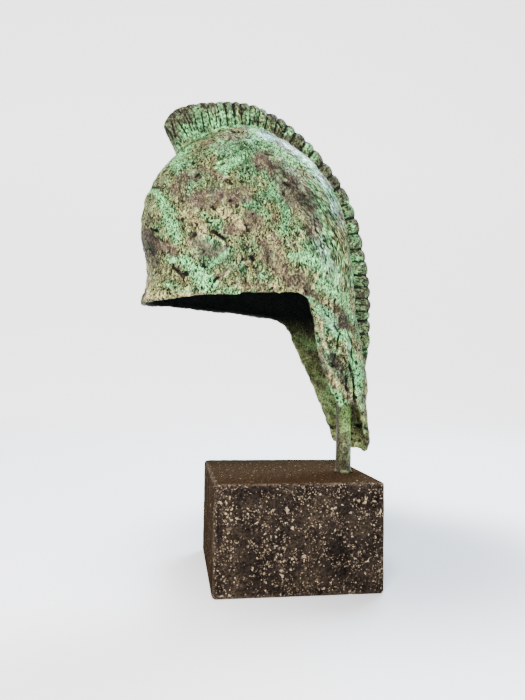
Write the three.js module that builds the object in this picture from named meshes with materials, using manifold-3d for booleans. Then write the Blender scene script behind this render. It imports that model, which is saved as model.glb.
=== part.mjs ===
// A small cast-bronze helmet of the ancient Greek kind, with a ribbed crest and a
// tapering neck guard, carried on a round post that stands in a stone block.
// Millimetres, +Z up. The origin is the middle of the block's underside, and the
// helmet faces -X, turned by helmetYaw about the post.

import * as THREE from 'three';
import { mergeVertices } from 'three/addons/utils/BufferGeometryUtils.js';
import Module from 'manifold-3d';

const wasm = await Module();
wasm.setup();

// Stone block
const blockWidth = 100;
const blockDepth = 100;
const blockHeight = 64;
const blockChamfer = 1;

// Post, and the hole in the block that it stands in
const postDiameter = 10;
const postX = 36;
const postY = -10;
const postSunk = 26;
const postTopBelowRim = 19;
const postSides = 32;

// Helmet bowl
const helmetYaw = 12;
const rimAboveBlock = 102;
const domeHeight = 111;
const helmetLength = 139;
const helmetWidth = 72;
const napeBehindPost = 4;
const guardHeight = 90;
const wall = 3.5;
const nearCornerRadius = 3;
const farCornerRadius = 10;

// Web inside the neck guard that joins the bowl to the post
const webThickness = 6;
const webHeight = 42;

// Crest
const crestRise = 15;
const crestThickness = 8.5;
const ribPitch = 8;
const ribDepth = 1.3;
const scallopDepth = 1.4;

// How much the ribs differ in length, as a share of ribPitch
const ribUnevenShare = 0.14;

// Heights where the crest's seat starts at the brow and ends at the nape, as a share
// of domeHeight above the rim's level and of guardHeight below it
const crestFrontShare = 0.81;
const crestBackShare = -0.38;

// Clearance between pieces that touch
const fitGap = 0.3;

// Level sections of the bowl's outside, from the crown down to the neck guard's tip.
// level: height, as a share of domeHeight above the rim or of guardHeight below it
// front, wide, back: shares of helmetLength from the brow, at the middle plane and
// where the section is widest; half: share of half the width; square: exponent of
// the section's superellipse; near, far: degrees from the front to the guard's free
// edge on the -Y side and on the +Y side
const SECTIONS = [
  { level: 1.0, front: 0.49, wide: 0.49, back: 0.49, half: 0.0, square: 2.0, near: 108, far: 108 },
  { level: 0.982, front: 0.396, wide: 0.49, back: 0.584, half: 0.25, square: 2.0, near: 108, far: 108 },
  { level: 0.934, front: 0.303, wide: 0.488, back: 0.673, half: 0.48, square: 2.0, near: 108, far: 108 },
  { level: 0.855, front: 0.204, wide: 0.486, back: 0.768, half: 0.675, square: 2.05, near: 108, far: 108 },
  { level: 0.745, front: 0.114, wide: 0.484, back: 0.857, half: 0.825, square: 2.1, near: 108, far: 108 },
  { level: 0.61, front: 0.051, wide: 0.482, back: 0.921, half: 0.92, square: 2.2, near: 108, far: 108 },
  { level: 0.46, front: 0.013, wide: 0.482, back: 0.957, half: 0.975, square: 2.3, near: 108, far: 108 },
  { level: 0.318, front: 0.018, wide: 0.482, back: 0.975, half: 1.0, square: 2.35, near: 108, far: 108 },
  { level: 0.177, front: 0.05, wide: 0.48, back: 0.987, half: 1.0, square: 2.4, near: 108, far: 110 },
  { level: 0.071, front: 0.036, wide: 0.5, back: 0.996, half: 0.985, square: 2.4, near: 108, far: 112 },
  { level: 0.0, front: 0.02, wide: 0.57, back: 1.0, half: 0.94, square: 2.4, near: 105, far: 112 },
  { level: -0.09, front: 0.02, wide: 0.705, back: 1.014, half: 0.8, square: 2.35, near: 91.5, far: 101 },
  { level: -0.2, front: 0.02, wide: 0.755, back: 1.036, half: 0.68, square: 2.3, near: 89, far: 94 },
  { level: -0.355, front: 0.02, wide: 0.812, back: 1.062, half: 0.6, square: 2.2, near: 87.5, far: 91 },
  { level: -0.52, front: 0.02, wide: 0.856, back: 1.081, half: 0.5, square: 2.2, near: 88, far: 90 },
  { level: -0.68, front: 0.02, wide: 0.896, back: 1.089, half: 0.395, square: 2.2, near: 90, far: 90 },
  { level: -0.82, front: 0.02, wide: 0.934, back: 1.102, half: 0.34, square: 2.2, near: 90, far: 90 },
  { level: -1.0, front: 0.02, wide: 0.972, back: 1.098, half: 0.28, square: 2.2, near: 90, far: 90 },
];

// Height of the rim along its length, as a share of domeHeight above or below the
// rim's level. along: 0 at the brow, 1 at the guard's edge.
const RIM = [
  { along: 0.0, near: 0.0, far: -0.018 },
  { along: 0.3, near: -0.004, far: -0.008 },
  { along: 0.6, near: 0.024, far: -0.005 },
  { along: 0.85, near: 0.048, far: -0.022 },
  { along: 1.0, near: 0.058, far: -0.036 },
];

// Lower end of the neck guard, as a share of guardHeight, round the back from the
// near free edge to the far one: the near side is broken off short.
const GUARD_END = [
  { round: 0.0, drop: 0.655 },
  { round: 0.2, drop: 0.665 },
  { round: 0.26, drop: 0.93 },
  { round: 0.4, drop: 0.985 },
  { round: 0.55, drop: 1.0 },
  { round: 0.8, drop: 0.97 },
  { round: 1.0, drop: 0.92 },
];

// The crest along its seat, from its front end over the crown and down the nape.
// along: share of the seat's length; rise: share of crestRise; lean: degrees that
// a rib leans back from square to the seat; pitch: share of ribPitch; deep: share of
// ribDepth and scallopDepth; thick: share of crestThickness
const CREST = [
  { along: 0.0, rise: 1.2, lean: 12, pitch: 0.85, deep: 0.3, thick: 1.1 },
  { along: 0.03, rise: 1.46, lean: 13, pitch: 0.85, deep: 0.3, thick: 1.1 },
  { along: 0.08, rise: 1.36, lean: 13, pitch: 0.75, deep: 0.35, thick: 1.1 },
  { along: 0.12, rise: 1.22, lean: 11, pitch: 0.6, deep: 0.6, thick: 1.06 },
  { along: 0.16, rise: 1.16, lean: 8, pitch: 0.56, deep: 0.75, thick: 1.04 },
  { along: 0.25, rise: 0.97, lean: 2, pitch: 0.68, deep: 0.9, thick: 1.0 },
  { along: 0.34, rise: 0.83, lean: 0, pitch: 0.9, deep: 1.0, thick: 1.0 },
  { along: 0.44, rise: 0.72, lean: 0, pitch: 1.1, deep: 1.05, thick: 0.98 },
  { along: 0.54, rise: 0.78, lean: 0, pitch: 1.2, deep: 1.1, thick: 0.98 },
  { along: 0.66, rise: 0.9, lean: 0, pitch: 1.1, deep: 1.0, thick: 0.98 },
  { along: 0.76, rise: 1.02, lean: 0, pitch: 0.98, deep: 1.0, thick: 1.0 },
  { along: 0.85, rise: 0.95, lean: 3, pitch: 0.98, deep: 1.0, thick: 0.96 },
  { along: 0.93, rise: 0.64, lean: 10, pitch: 1.2, deep: 0.8, thick: 0.86 },
  { along: 1.0, rise: 0.16, lean: 16, pitch: 1.2, deep: 0.4, thick: 0.65 },
];

const postRadius = postDiameter / 2;
const rimZ = blockHeight + rimAboveBlock;
const browX = napeBehindPost - helmetLength;
const LAST_ROW = SECTIONS.length - 1;

// A Catmull-Rom value between p1 and p2
function spline(p0, p1, p2, p3, t) {
  const bend = 2 * p0 - 5 * p1 + 4 * p2 - p3;
  const twist = -p0 + 3 * p1 - 3 * p2 + p3;
  return p1 + 0.5 * t * (p2 - p0 + t * (bend + t * twist));
}

// The value of a column of a table at a place between its rows, by straight lines
function tableValue(table, key, place, column) {
  let i = 0;
  while (i < table.length - 2 && place > table[i + 1][key]) i += 1;
  const a = table[i];
  const b = table[i + 1];
  const t = THREE.MathUtils.clamp((place - a[key]) / (b[key] - a[key]), 0, 1);
  return a[column] + (b[column] - a[column]) * t;
}

// The same, on a smooth curve through the rows
function smoothValue(table, key, place, column) {
  let i = 0;
  while (i < table.length - 2 && place > table[i + 1][key]) i += 1;
  const value = (k) => table[THREE.MathUtils.clamp(k, 0, table.length - 1)][column];
  const span = table[i + 1][key] - table[i][key];
  const t = THREE.MathUtils.clamp((place - table[i][key]) / span, 0, 1);
  return spline(value(i - 1), value(i), value(i + 1), value(i + 2), t);
}

function levelHeight(level) {
  return rimZ + level * (level > 0 ? domeHeight : guardHeight);
}

// A section row in millimetres. Rows before the crown mirror the rows after it, so
// that the surface runs smoothly over the crown.
function sectionRow(i) {
  const mirrored = i < 0;
  const row = SECTIONS[Math.min(Math.abs(i), LAST_ROW)];
  const x = (share) => browX + share * helmetLength;
  const half = (row.half * helmetWidth) / 2;
  return {
    z: levelHeight(row.level),
    front: x(mirrored ? row.back : row.front),
    wide: x(row.wide),
    back: x(mirrored ? row.front : row.back),
    half: mirrored ? -half : half,
    square: row.square,
    near: row.near,
    far: row.far,
  };
}

// The section at a row number with a fraction, 0 at the crown
function sectionAt(row) {
  const i = Math.min(Math.floor(row), LAST_ROW - 1);
  const rows = [i - 1, i, i + 1, i + 2].map(sectionRow);
  const section = {};
  for (const key of Object.keys(rows[0])) {
    section[key] = spline(...rows.map((r) => r[key]), row - i);
  }
  return section;
}

// The row number whose section lies at height z
function rowAt(z) {
  let low = 0;
  let high = LAST_ROW;
  for (let step = 0; step < 40; step += 1) {
    const middle = (low + high) / 2;
    if (sectionAt(middle).z > z) low = middle;
    else high = middle;
  }
  return (low + high) / 2;
}

// A point of the bowl's outside: angle 0 at the brow, 180 degrees at the nape,
// positive on the +Y side
function bowlPoint(row, angle) {
  const s = sectionAt(row);
  const c = Math.cos(angle);
  const sn = Math.sin(angle);
  const r = (Math.abs(c) ** s.square + Math.abs(sn) ** s.square) ** (-1 / s.square);
  const reach = c > 0 ? s.wide - s.front : s.back - s.wide;
  return new THREE.Vector3(s.wide - r * c * reach, r * sn * s.half, s.z);
}

// Height of the rim at a share of the way from the brow to the guard's edge; near
// the edge it rounds down into the guard
function rimHeightAt(along, side) {
  const lift = smoothValue(RIM, 'along', along, side) * domeHeight;
  const radius = side === 'near' ? nearCornerRadius : farCornerRadius;
  const toEdge = ((1 - along) * helmetLength) / 2;
  const inset = Math.max(radius - toEdge, 0);
  return rimZ + lift - (radius - Math.sqrt(radius ** 2 - inset ** 2));
}

const FRONT_COLUMNS = 34;
const BACK_COLUMNS = 24;
const DOME_ROWS = 15;
const GUARD_ROWS = 12;

// The columns of the bowl's surface, round from the near edge of the guard over
// the brow to the far edge, and on round the back
function bowlColumns() {
  const columns = [];
  for (let j = 0; j <= FRONT_COLUMNS; j += 1) {
    const t = (2 * j) / FRONT_COLUMNS - 1;
    const along = (t + Math.sin((Math.PI / 2) * t)) / 2;
    const rim = rimHeightAt(Math.abs(along), along < 0 ? 'near' : 'far');
    columns.push({ isBack: Math.abs(t) === 1, along, rimRow: rowAt(rim), round: t < 0 ? 0 : 1 });
  }
  const near = columns[0].rimRow;
  const far = columns[FRONT_COLUMNS].rimRow;
  for (let j = 1; j < BACK_COLUMNS; j += 1) {
    const round = 1 - j / BACK_COLUMNS;
    columns.push({ isBack: true, rimRow: near + (far - near) * round, round });
  }
  for (const column of columns.filter((c) => c.isBack)) {
    const drop = tableValue(GUARD_END, 'round', column.round, 'drop');
    column.endRow = rowAt(rimZ - drop * guardHeight);
  }
  return columns;
}

// The angle of a column where it crosses a row
function columnAngle(column, row) {
  const section = sectionAt(row);
  const near = THREE.MathUtils.degToRad(section.near);
  const far = THREE.MathUtils.degToRad(section.far);
  if (column.along !== undefined) return column.along * (column.along < 0 ? near : far);
  return far + (1 - column.round) * (Math.PI * 2 - near - far);
}

// The bowl's outside as one open sheet of points and quads
function bowlSheet() {
  const columns = bowlColumns();
  const points = [bowlPoint(0, 0)];
  const grid = columns.map(() => [0]);
  const put = (j, i, row) => {
    points.push(bowlPoint(row, columnAngle(columns[j], row)));
    grid[j][i] = points.length - 1;
  };
  columns.forEach((column, j) => {
    for (let i = 1; i <= DOME_ROWS; i += 1) put(j, i, (column.rimRow * i) / DOME_ROWS);
    if (!column.isBack) return;
    for (let i = 1; i <= GUARD_ROWS; i += 1) {
      const t = i / GUARD_ROWS;
      put(j, DOME_ROWS + i, column.rimRow + (column.endRow - column.rimRow) * t);
    }
  });
  const triangles = [];
  columns.forEach((column, j) => {
    const next = (j + 1) % columns.length;
    const lastRow = column.isBack && columns[next].isBack ? DOME_ROWS + GUARD_ROWS : DOME_ROWS;
    for (let i = 0; i < lastRow; i += 1) {
      const [a, b] = [grid[j][i], grid[next][i]];
      const [c, d] = [grid[next][i + 1], grid[j][i + 1]];
      triangles.push([a, c, d]);
      if (i > 0) triangles.push([a, b, c]);
    }
  });
  return { points, triangles };
}

function toGeometry(points, triangles) {
  const geometry = new THREE.BufferGeometry();
  const flat = points.flatMap((p) => [p.x, p.y, p.z]);
  geometry.setAttribute('position', new THREE.Float32BufferAttribute(flat, 3));
  geometry.setIndex(triangles.flat());
  return geometry;
}

// A closed solid between two offsets of an open sheet along its normals
function thicken({ points, triangles }, outside, inside) {
  const sheet = toGeometry(points, triangles);
  sheet.computeVertexNormals();
  const normals = sheet.getAttribute('normal');
  const offset = (distance) => points.map((p, i) => (
    new THREE.Vector3().fromBufferAttribute(normals, i).multiplyScalar(distance).add(p)
  ));
  const count = points.length;
  const faces = triangles.map((t) => [...t]);
  for (const [a, b, c] of triangles) faces.push([count + a, count + c, count + b]);
  const edges = new Set(triangles.flatMap(([a, b, c]) => [`${a},${b}`, `${b},${c}`, `${c},${a}`]));
  for (const edge of edges) {
    const [a, b] = edge.split(',').map(Number);
    if (edges.has(`${b},${a}`)) continue;
    faces.push([b, a, count + a], [b, count + a, count + b]);
  }
  return toGeometry([...offset(outside), ...offset(inside)], faces);
}

function toSolid(geometry) {
  const bare = geometry.clone();
  bare.deleteAttribute('normal');
  bare.deleteAttribute('uv');
  const merged = mergeVertices(bare, 1e-4);
  return new wasm.Manifold(new wasm.Mesh({
    numProp: 3,
    vertProperties: new Float32Array(merged.getAttribute('position').array),
    triVerts: new Uint32Array(merged.getIndex().array),
  }));
}

function fromSolid(solid) {
  const mesh = solid.getMesh();
  const geometry = new THREE.BufferGeometry();
  geometry.setAttribute('position', new THREE.BufferAttribute(mesh.vertProperties, 3));
  geometry.setIndex(new THREE.BufferAttribute(mesh.triVerts, 1));
  geometry.computeVertexNormals();
  return geometry;
}

// An upright cylinder from one height to another, on the post's axis
function uprightCylinder(radius, bottom, top) {
  const geometry = new THREE.CylinderGeometry(radius, radius, top - bottom, postSides);
  geometry.rotateX(Math.PI / 2);
  geometry.translate(0, 0, (bottom + top) / 2);
  return geometry;
}

// The seam of the bowl's outside with its middle plane, followed from the crest's
// front end over the crown to its back end
function crestSeat() {
  const frontRow = rowAt(levelHeight(crestFrontShare));
  const backRow = rowAt(levelHeight(crestBackShare));
  const steps = 400;
  const points = [];
  for (let i = 0; i <= steps; i += 1) {
    const row = -frontRow + ((frontRow + backRow) * i) / steps;
    const s = sectionAt(Math.abs(row));
    points.push(new THREE.Vector2(row < 0 ? s.front : s.back, s.z));
  }
  const lengths = [0];
  for (let i = 1; i <= steps; i += 1) {
    lengths.push(lengths[i - 1] + points[i].distanceTo(points[i - 1]));
  }
  const total = lengths[steps];
  const at = (distance) => {
    let i = 0;
    while (i < steps - 1 && lengths[i + 1] < distance) i += 1;
    const t = (distance - lengths[i]) / (lengths[i + 1] - lengths[i]);
    const from = points[Math.max(i - 4, 0)];
    const to = points[Math.min(i + 5, steps)];
    const tangent = to.clone().sub(from).normalize();
    return { point: points[i].clone().lerp(points[i + 1], t), tangent };
  };
  return { total, at };
}

// Shares of a rib's length where the crest has a section, with how far the rib
// swells there: 0 in the groove, 1 on the crown
const RIB_PROFILE = [
  { share: 0.0, swell: 0.0 },
  { share: 0.12, swell: 0.65 },
  { share: 0.35, swell: 1.0 },
  { share: 0.65, swell: 1.0 },
  { share: 0.88, swell: 0.65 },
];

// One section of the crest at a distance along its seat: a closed ring of points
function crestRing(seat, distance, swell) {
  const along = distance / seat.total;
  const { point, tangent } = seat.at(distance);
  const lean = THREE.MathUtils.degToRad(smoothValue(CREST, 'along', along, 'lean'));
  const up = new THREE.Vector2(-tangent.y, tangent.x).rotateAround(new THREE.Vector2(), -lean);
  const groove = (1 - swell) * smoothValue(CREST, 'along', along, 'deep');
  const fullRise = smoothValue(CREST, 'along', along, 'rise') * crestRise;
  const rise = fullRise - groove * scallopDepth;
  const thick = smoothValue(CREST, 'along', along, 'thick') * crestThickness;
  const half = thick / 2 - groove * ribDepth;
  const root = -0.8 * wall;
  const outline = [[1, root], [0.95, 0.75 * rise], [0.55, rise]];
  const left = outline.map(([side, up1]) => [-side * half, up1]);
  const right = outline.map(([side, up1]) => [side * half, up1]).reverse();
  return [...left, ...right].map(([y, height]) => (
    new THREE.Vector3(point.x + up.x * height, y, point.y + up.y * height)
  ));
}

// The ribbed blade before its foot is fitted to the bowl
function crestBlade() {
  const seat = crestSeat();
  const rings = [];
  let start = 0;
  for (let rib = 0; start < seat.total; rib += 1) {
    const even = smoothValue(CREST, 'along', start / seat.total, 'pitch') * ribPitch;
    const pitch = even * (1 + ribUnevenShare * Math.sin(rib * 2.4));
    const length = seat.total - start < 1.5 * pitch ? seat.total - start : pitch;
    for (const { share, swell } of RIB_PROFILE) {
      rings.push(crestRing(seat, start + share * length, swell));
    }
    start += length;
  }
  rings.push(crestRing(seat, seat.total, 0));
  const size = rings[0].length;
  const triangles = [];
  for (let r = 0; r < rings.length - 1; r += 1) {
    for (let k = 0; k < size; k += 1) {
      const [a, b] = [r * size + k, r * size + ((k + 1) % size)];
      triangles.push([a, b + size, b], [a, a + size, b + size]);
    }
  }
  const last = (rings.length - 1) * size;
  for (let k = 1; k < size - 1; k += 1) {
    triangles.push([0, k, k + 1], [last, last + k + 1, last + k]);
  }
  return toGeometry(rings.flat(), triangles);
}

const postTop = rimZ - postTopBelowRim;

function postHole() {
  return toSolid(uprightCylinder(postRadius + fitGap, blockHeight - postSunk, postTop + fitGap));
}

// The web between the post and the back of the neck guard, as a plate in the
// helmet's middle plane
function webPlate() {
  const bottom = postTop - webHeight;
  const steps = 6;
  const outline = [new THREE.Vector2(0, bottom), new THREE.Vector2(0, postTop)];
  for (let i = 0; i <= steps; i += 1) {
    const z = postTop - (webHeight * i) / steps;
    outline.push(new THREE.Vector2(sectionAt(rowAt(z)).back - wall / 2, z));
  }
  const options = { depth: webThickness, bevelEnabled: false };
  const geometry = new THREE.ExtrudeGeometry(new THREE.Shape(outline), options);
  geometry.rotateX(Math.PI / 2);
  geometry.translate(0, webThickness / 2, 0);
  return toSolid(geometry);
}

const sheet = bowlSheet();

function bowlGeometry() {
  const shell = toSolid(thicken(sheet, 0, -wall));
  return fromSolid(shell.add(webPlate()).subtract(postHole()));
}

function crestGeometry() {
  const room = toSolid(thicken(sheet, fitGap, -wall));
  return fromSolid(toSolid(crestBlade()).subtract(room));
}

// The block with its broken edges and the post's blind hole
function blockGeometry() {
  const x = blockWidth / 2 - blockChamfer;
  const y = blockDepth / 2 - blockChamfer;
  const c = blockChamfer;
  const outline = new THREE.Shape([
    [x - c, -y], [x, c - y], [x, y - c], [x - c, y],
    [c - x, y], [-x, y - c], [-x, c - y], [c - x, -y],
  ].map(([px, py]) => new THREE.Vector2(px, py)));
  const geometry = new THREE.ExtrudeGeometry(outline, {
    depth: blockHeight - 2 * c, bevelThickness: c, bevelSize: c, bevelSegments: 1,
  });
  geometry.translate(0, 0, c);
  const floor = blockHeight - postSunk - fitGap;
  const hole = uprightCylinder(postRadius + fitGap, floor, blockHeight + c);
  hole.translate(postX, postY, 0);
  return fromSolid(toSolid(geometry).subtract(toSolid(hole)));
}

function namedMesh(name, geometry, color, roughness, metalness) {
  const material = new THREE.MeshStandardMaterial({ color, roughness, metalness });
  const mesh = new THREE.Mesh(geometry, material);
  mesh.name = name;
  return mesh;
}

const bowl = namedMesh('helmet_bowl', bowlGeometry(), 0x5d6b50, 0.55, 0.6);
const crest = namedMesh('crest', crestGeometry(), 0x5c8a68, 0.6, 0.5);
const helmet = new THREE.Group();
helmet.add(bowl, crest);
helmet.position.set(postX, postY, 0);
helmet.rotation.z = THREE.MathUtils.degToRad(helmetYaw);

const post = namedMesh(
  'post',
  uprightCylinder(postRadius, blockHeight - postSunk, postTop),
  0x57633f, 0.5, 0.7,
);
post.position.set(postX, postY, 0);

const block = namedMesh('stone_block', blockGeometry(), 0x3a322c, 0.7, 0);

const model = new THREE.Group();
model.add(block, post, helmet);

export default model;
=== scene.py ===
# A small cast-bronze helmet with a ribbed crest and a tapering neck guard, under a
# mottled green and brown patina, on a round post that stands in a dark stone block.
# The frame gives every piece its size and place. Lengths here are millimetres, and
# meshes are written in metres.

import math

import bpy
import numpy as np
from mathutils import Matrix, Vector
from mathutils.bvhtree import BVHTree


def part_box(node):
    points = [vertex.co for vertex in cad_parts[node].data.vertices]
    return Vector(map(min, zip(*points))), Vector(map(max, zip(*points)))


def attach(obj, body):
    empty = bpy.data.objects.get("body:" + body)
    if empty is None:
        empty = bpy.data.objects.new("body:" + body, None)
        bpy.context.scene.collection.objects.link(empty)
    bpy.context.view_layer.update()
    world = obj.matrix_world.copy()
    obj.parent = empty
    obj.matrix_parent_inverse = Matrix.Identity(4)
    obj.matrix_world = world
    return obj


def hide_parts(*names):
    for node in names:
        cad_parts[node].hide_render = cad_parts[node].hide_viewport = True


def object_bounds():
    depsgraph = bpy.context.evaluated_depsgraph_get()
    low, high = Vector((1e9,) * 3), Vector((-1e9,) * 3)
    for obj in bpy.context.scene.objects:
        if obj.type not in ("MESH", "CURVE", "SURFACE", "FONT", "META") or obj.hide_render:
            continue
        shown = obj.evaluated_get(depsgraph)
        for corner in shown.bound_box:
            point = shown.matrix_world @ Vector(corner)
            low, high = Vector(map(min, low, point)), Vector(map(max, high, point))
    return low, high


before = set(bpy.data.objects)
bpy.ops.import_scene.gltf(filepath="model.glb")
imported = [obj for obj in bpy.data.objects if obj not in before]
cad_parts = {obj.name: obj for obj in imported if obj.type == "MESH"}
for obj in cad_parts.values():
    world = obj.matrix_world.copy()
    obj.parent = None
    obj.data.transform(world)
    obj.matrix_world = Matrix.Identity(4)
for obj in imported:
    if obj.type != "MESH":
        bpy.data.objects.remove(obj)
cad_low, cad_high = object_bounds()

MM = 0.001

# The camera, from the corners of the stone block in the photograph
IMAGE_WIDTH = 525
IMAGE_HEIGHT = 700
FOCAL_PIXELS = 600.0
SENSOR = 36.0
CAMERA_PLACE = np.array([-74.1, -387.5, 123.8])
CAMERA_YAW = 8.50
CAMERA_PITCH = 2.61
CAMERA_ROLL = 0.90

# The helmet stands turned on its post
HELMET_YAW = 12.0
post_low, post_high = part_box("post")
POST_X = (post_low.x + post_high.x) / 2 / MM
POST_Y = (post_low.y + post_high.y) / 2 / MM
POST_RADIUS = (post_high.x - post_low.x) / 2 / MM
BLOCK_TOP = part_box("stone_block")[1].z / MM

# Mesh fineness, and how many rounds of smoothing take the facets away
BOWL_VOXEL = 1.08
CREST_VOXEL = 0.55
BLOCK_VOXEL = 1.15
BOWL_ROUNDS = 9
CREST_ROUNDS = 3
BLOCK_ROUNDS = 2
SHRINK = 0.6
SWELL = SHRINK * 1.03


# Camera and projection

def camera_axes():
    """The camera's right, up and forward directions."""
    yaw, pitch, roll = (math.radians(a) for a in (CAMERA_YAW, CAMERA_PITCH, CAMERA_ROLL))
    forward = np.array([
        math.sin(yaw) * math.cos(pitch),
        math.cos(yaw) * math.cos(pitch),
        math.sin(pitch),
    ])
    level = np.array([math.cos(yaw), -math.sin(yaw), 0.0])
    rise = np.cross(level, forward)
    right = level * math.cos(roll) + rise * math.sin(roll)
    up = rise * math.cos(roll) - level * math.sin(roll)
    return right, up, forward


def photo_pixels(points):
    """Where points of the frame, in millimetres, lie in the photograph."""
    right, up, forward = camera_axes()
    offset = points - CAMERA_PLACE
    depth = offset @ forward
    x = IMAGE_WIDTH / 2 + FOCAL_PIXELS * (offset @ right) / depth
    y = IMAGE_HEIGHT / 2 - FOCAL_PIXELS * (offset @ up) / depth
    return np.stack([x, y], axis=1)


def make_camera():
    right, up, forward = camera_axes()
    data = bpy.data.cameras.new("camera")
    data.sensor_fit = "VERTICAL"
    data.sensor_height = SENSOR
    data.lens = FOCAL_PIXELS * SENSOR / IMAGE_HEIGHT
    data.clip_start = 0.01
    data.clip_end = 20.0
    camera = bpy.data.objects.new("camera", data)
    turn = Matrix((right, up, -forward)).transposed().to_4x4()
    camera.matrix_world = Matrix.Translation(Vector(CAMERA_PLACE * MM)) @ turn
    bpy.context.collection.objects.link(camera)
    bpy.context.scene.camera = camera


# Noise

OCTAVES = 3


def lattice(ix, iy, iz, seed):
    """A repeatable random value from -1 to 1 for each whole-numbered point."""
    h = ix.astype(np.uint32) * np.uint32(0x8DA6B343)
    h ^= iy.astype(np.uint32) * np.uint32(0xD8163841)
    h ^= iz.astype(np.uint32) * np.uint32(0xCB1AB31F)
    h ^= np.uint32((seed * 0x9E3779B1) & 0xFFFFFFFF)
    h ^= h >> np.uint32(13)
    h *= np.uint32(0x5BD1E995)
    h ^= h >> np.uint32(15)
    h *= np.uint32(0x27D4EB2D)
    h ^= h >> np.uint32(16)
    return h.astype(np.float64) / 0xFFFFFFFF * 2 - 1


def noise(points, size, seed):
    """Smooth noise from -1 to 1 whose lumps are about size across. A size of three
    numbers stretches the lumps along the axes."""
    q = points / np.asarray(size, dtype=float) + 100.0
    cell = np.floor(q).astype(np.int64)
    t = q - cell
    t = t * t * (3 - 2 * t)
    total = np.zeros(len(points))
    for dx in (0, 1):
        for dy in (0, 1):
            for dz in (0, 1):
                weight = (
                    (t[:, 0] if dx else 1 - t[:, 0])
                    * (t[:, 1] if dy else 1 - t[:, 1])
                    * (t[:, 2] if dz else 1 - t[:, 2])
                )
                corner = lattice(cell[:, 0] + dx, cell[:, 1] + dy, cell[:, 2] + dz, seed)
                total += weight * corner
    return total


def layered_noise(points, size, seed):
    """Noise with finer and fainter noise on top."""
    total = np.zeros(len(points))
    share = 1.0
    for octave in range(OCTAVES):
        total += share * noise(points, np.asarray(size, dtype=float) / 2 ** octave, seed + octave)
        share *= 0.5
    return total


def lumps(points, rows):
    """Noise added up from rows that each give a size, a height and a seed."""
    return sum(height * noise(points, size, seed) for size, height, seed in rows)


# Mesh helpers

def read_points(mesh):
    """A mesh's vertices in millimetres and its vertex normals."""
    points = np.empty(len(mesh.vertices) * 3)
    mesh.vertices.foreach_get("co", points)
    normals = np.empty(len(mesh.vertices) * 3)
    mesh.vertex_normals.foreach_get("vector", normals)
    return points.reshape(-1, 3) / MM, normals.reshape(-1, 3)


def write_points(mesh, points):
    mesh.vertices.foreach_set("co", (points * MM).ravel())
    mesh.update()


def inside_box(points):
    """Points held inside the box that the whole CAD model fills."""
    return np.clip(points, np.array(cad_low) / MM, np.array(cad_high) / MM)


def set_attribute(mesh, name, values):
    """Keeps a number, or a row of three, for each vertex."""
    values = np.asarray(values, dtype=np.float32)
    kind, field = ("FLOAT", "value") if values.ndim == 1 else ("FLOAT_VECTOR", "vector")
    attribute = mesh.attributes.new(name, kind, "POINT")
    attribute.data.foreach_set(field, values.ravel())


def edge_list(mesh):
    edges = np.empty(len(mesh.edges) * 2, dtype=np.int64)
    mesh.edges.foreach_get("vertices", edges)
    return edges.reshape(-1, 2)


def spread(values, edges, rounds):
    """Values averaged over neighbouring vertices."""
    count = np.bincount(edges.ravel(), minlength=len(values)).astype(float)
    for _ in range(rounds):
        total = np.bincount(edges[:, 0], values[edges[:, 1]], minlength=len(values))
        total += np.bincount(edges[:, 1], values[edges[:, 0]], minlength=len(values))
        values = total / np.maximum(count, 1)
    return values


def relax(points, edges, rounds):
    """Smooths a mesh, alternating shrinking and swelling steps to keep its size."""
    for step in range(rounds * 2):
        factor = SHRINK if step % 2 == 0 else -SWELL
        mean = np.stack([spread(points[:, k], edges, 1) for k in range(3)], axis=1)
        points = points + (mean - points) * factor
    return points


def remeshed(name, node, voxel):
    """A finely and evenly meshed copy of a CAD node, as a new object."""
    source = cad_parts[node]
    mesh = source.data.copy()
    piece = bpy.data.objects.new(name, mesh)
    bpy.context.collection.objects.link(piece)
    modifier = piece.modifiers.new("even", "REMESH")
    modifier.mode = "VOXEL"
    modifier.voxel_size = voxel * MM
    modifier.use_smooth_shade = True
    graph = bpy.context.evaluated_depsgraph_get()
    fine = bpy.data.meshes.new_from_object(piece.evaluated_get(graph))
    piece.modifiers.clear()
    piece.data = fine
    fine.name = name
    fine.materials.clear()
    for polygon in fine.polygons:
        polygon.use_smooth = True
    return piece


def dress(piece, node, material):
    """Puts a piece in the place of a CAD node, on the one body."""
    piece.data.materials.clear()
    piece.data.materials.append(material)
    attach(piece, "root")
    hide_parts(node)


# Helmet coordinates: u towards the nape, v away from the camera, z up

def helmet_coordinates(points):
    yaw = math.radians(HELMET_YAW)
    x = points[:, 0] - POST_X
    y = points[:, 1] - POST_Y
    u = x * math.cos(yaw) + y * math.sin(yaw)
    v = y * math.cos(yaw) - x * math.sin(yaw)
    return np.stack([u, v, points[:, 2]], axis=1)


def helmet_directions(vectors):
    yaw = math.radians(HELMET_YAW)
    u = vectors[:, 0] * math.cos(yaw) + vectors[:, 1] * math.sin(yaw)
    v = vectors[:, 1] * math.cos(yaw) - vectors[:, 0] * math.sin(yaw)
    return np.stack([u, v, vectors[:, 2]], axis=1)


# Middle of the hollow, by height: what faces away from it is outside
HOLLOW_HEIGHTS = [76, 92, 105, 119, 134, 148, 158, 166, 200]
HOLLOW_MIDDLES = [0, -5, -10, -16, -22, -30, -37, -56, -67]
CROWN_CENTRE = 225

# The crown's arc, seen from the side
ARC_MIDDLE_U = -67.0
ARC_MIDDLE_Z = 185.0
ARC_RADIUS = 80.0
# Where marks come to follow the arc: between two values of u, and between two heights
ARC_U = (-62, -30)
ARC_Z = (165, 195)


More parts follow.
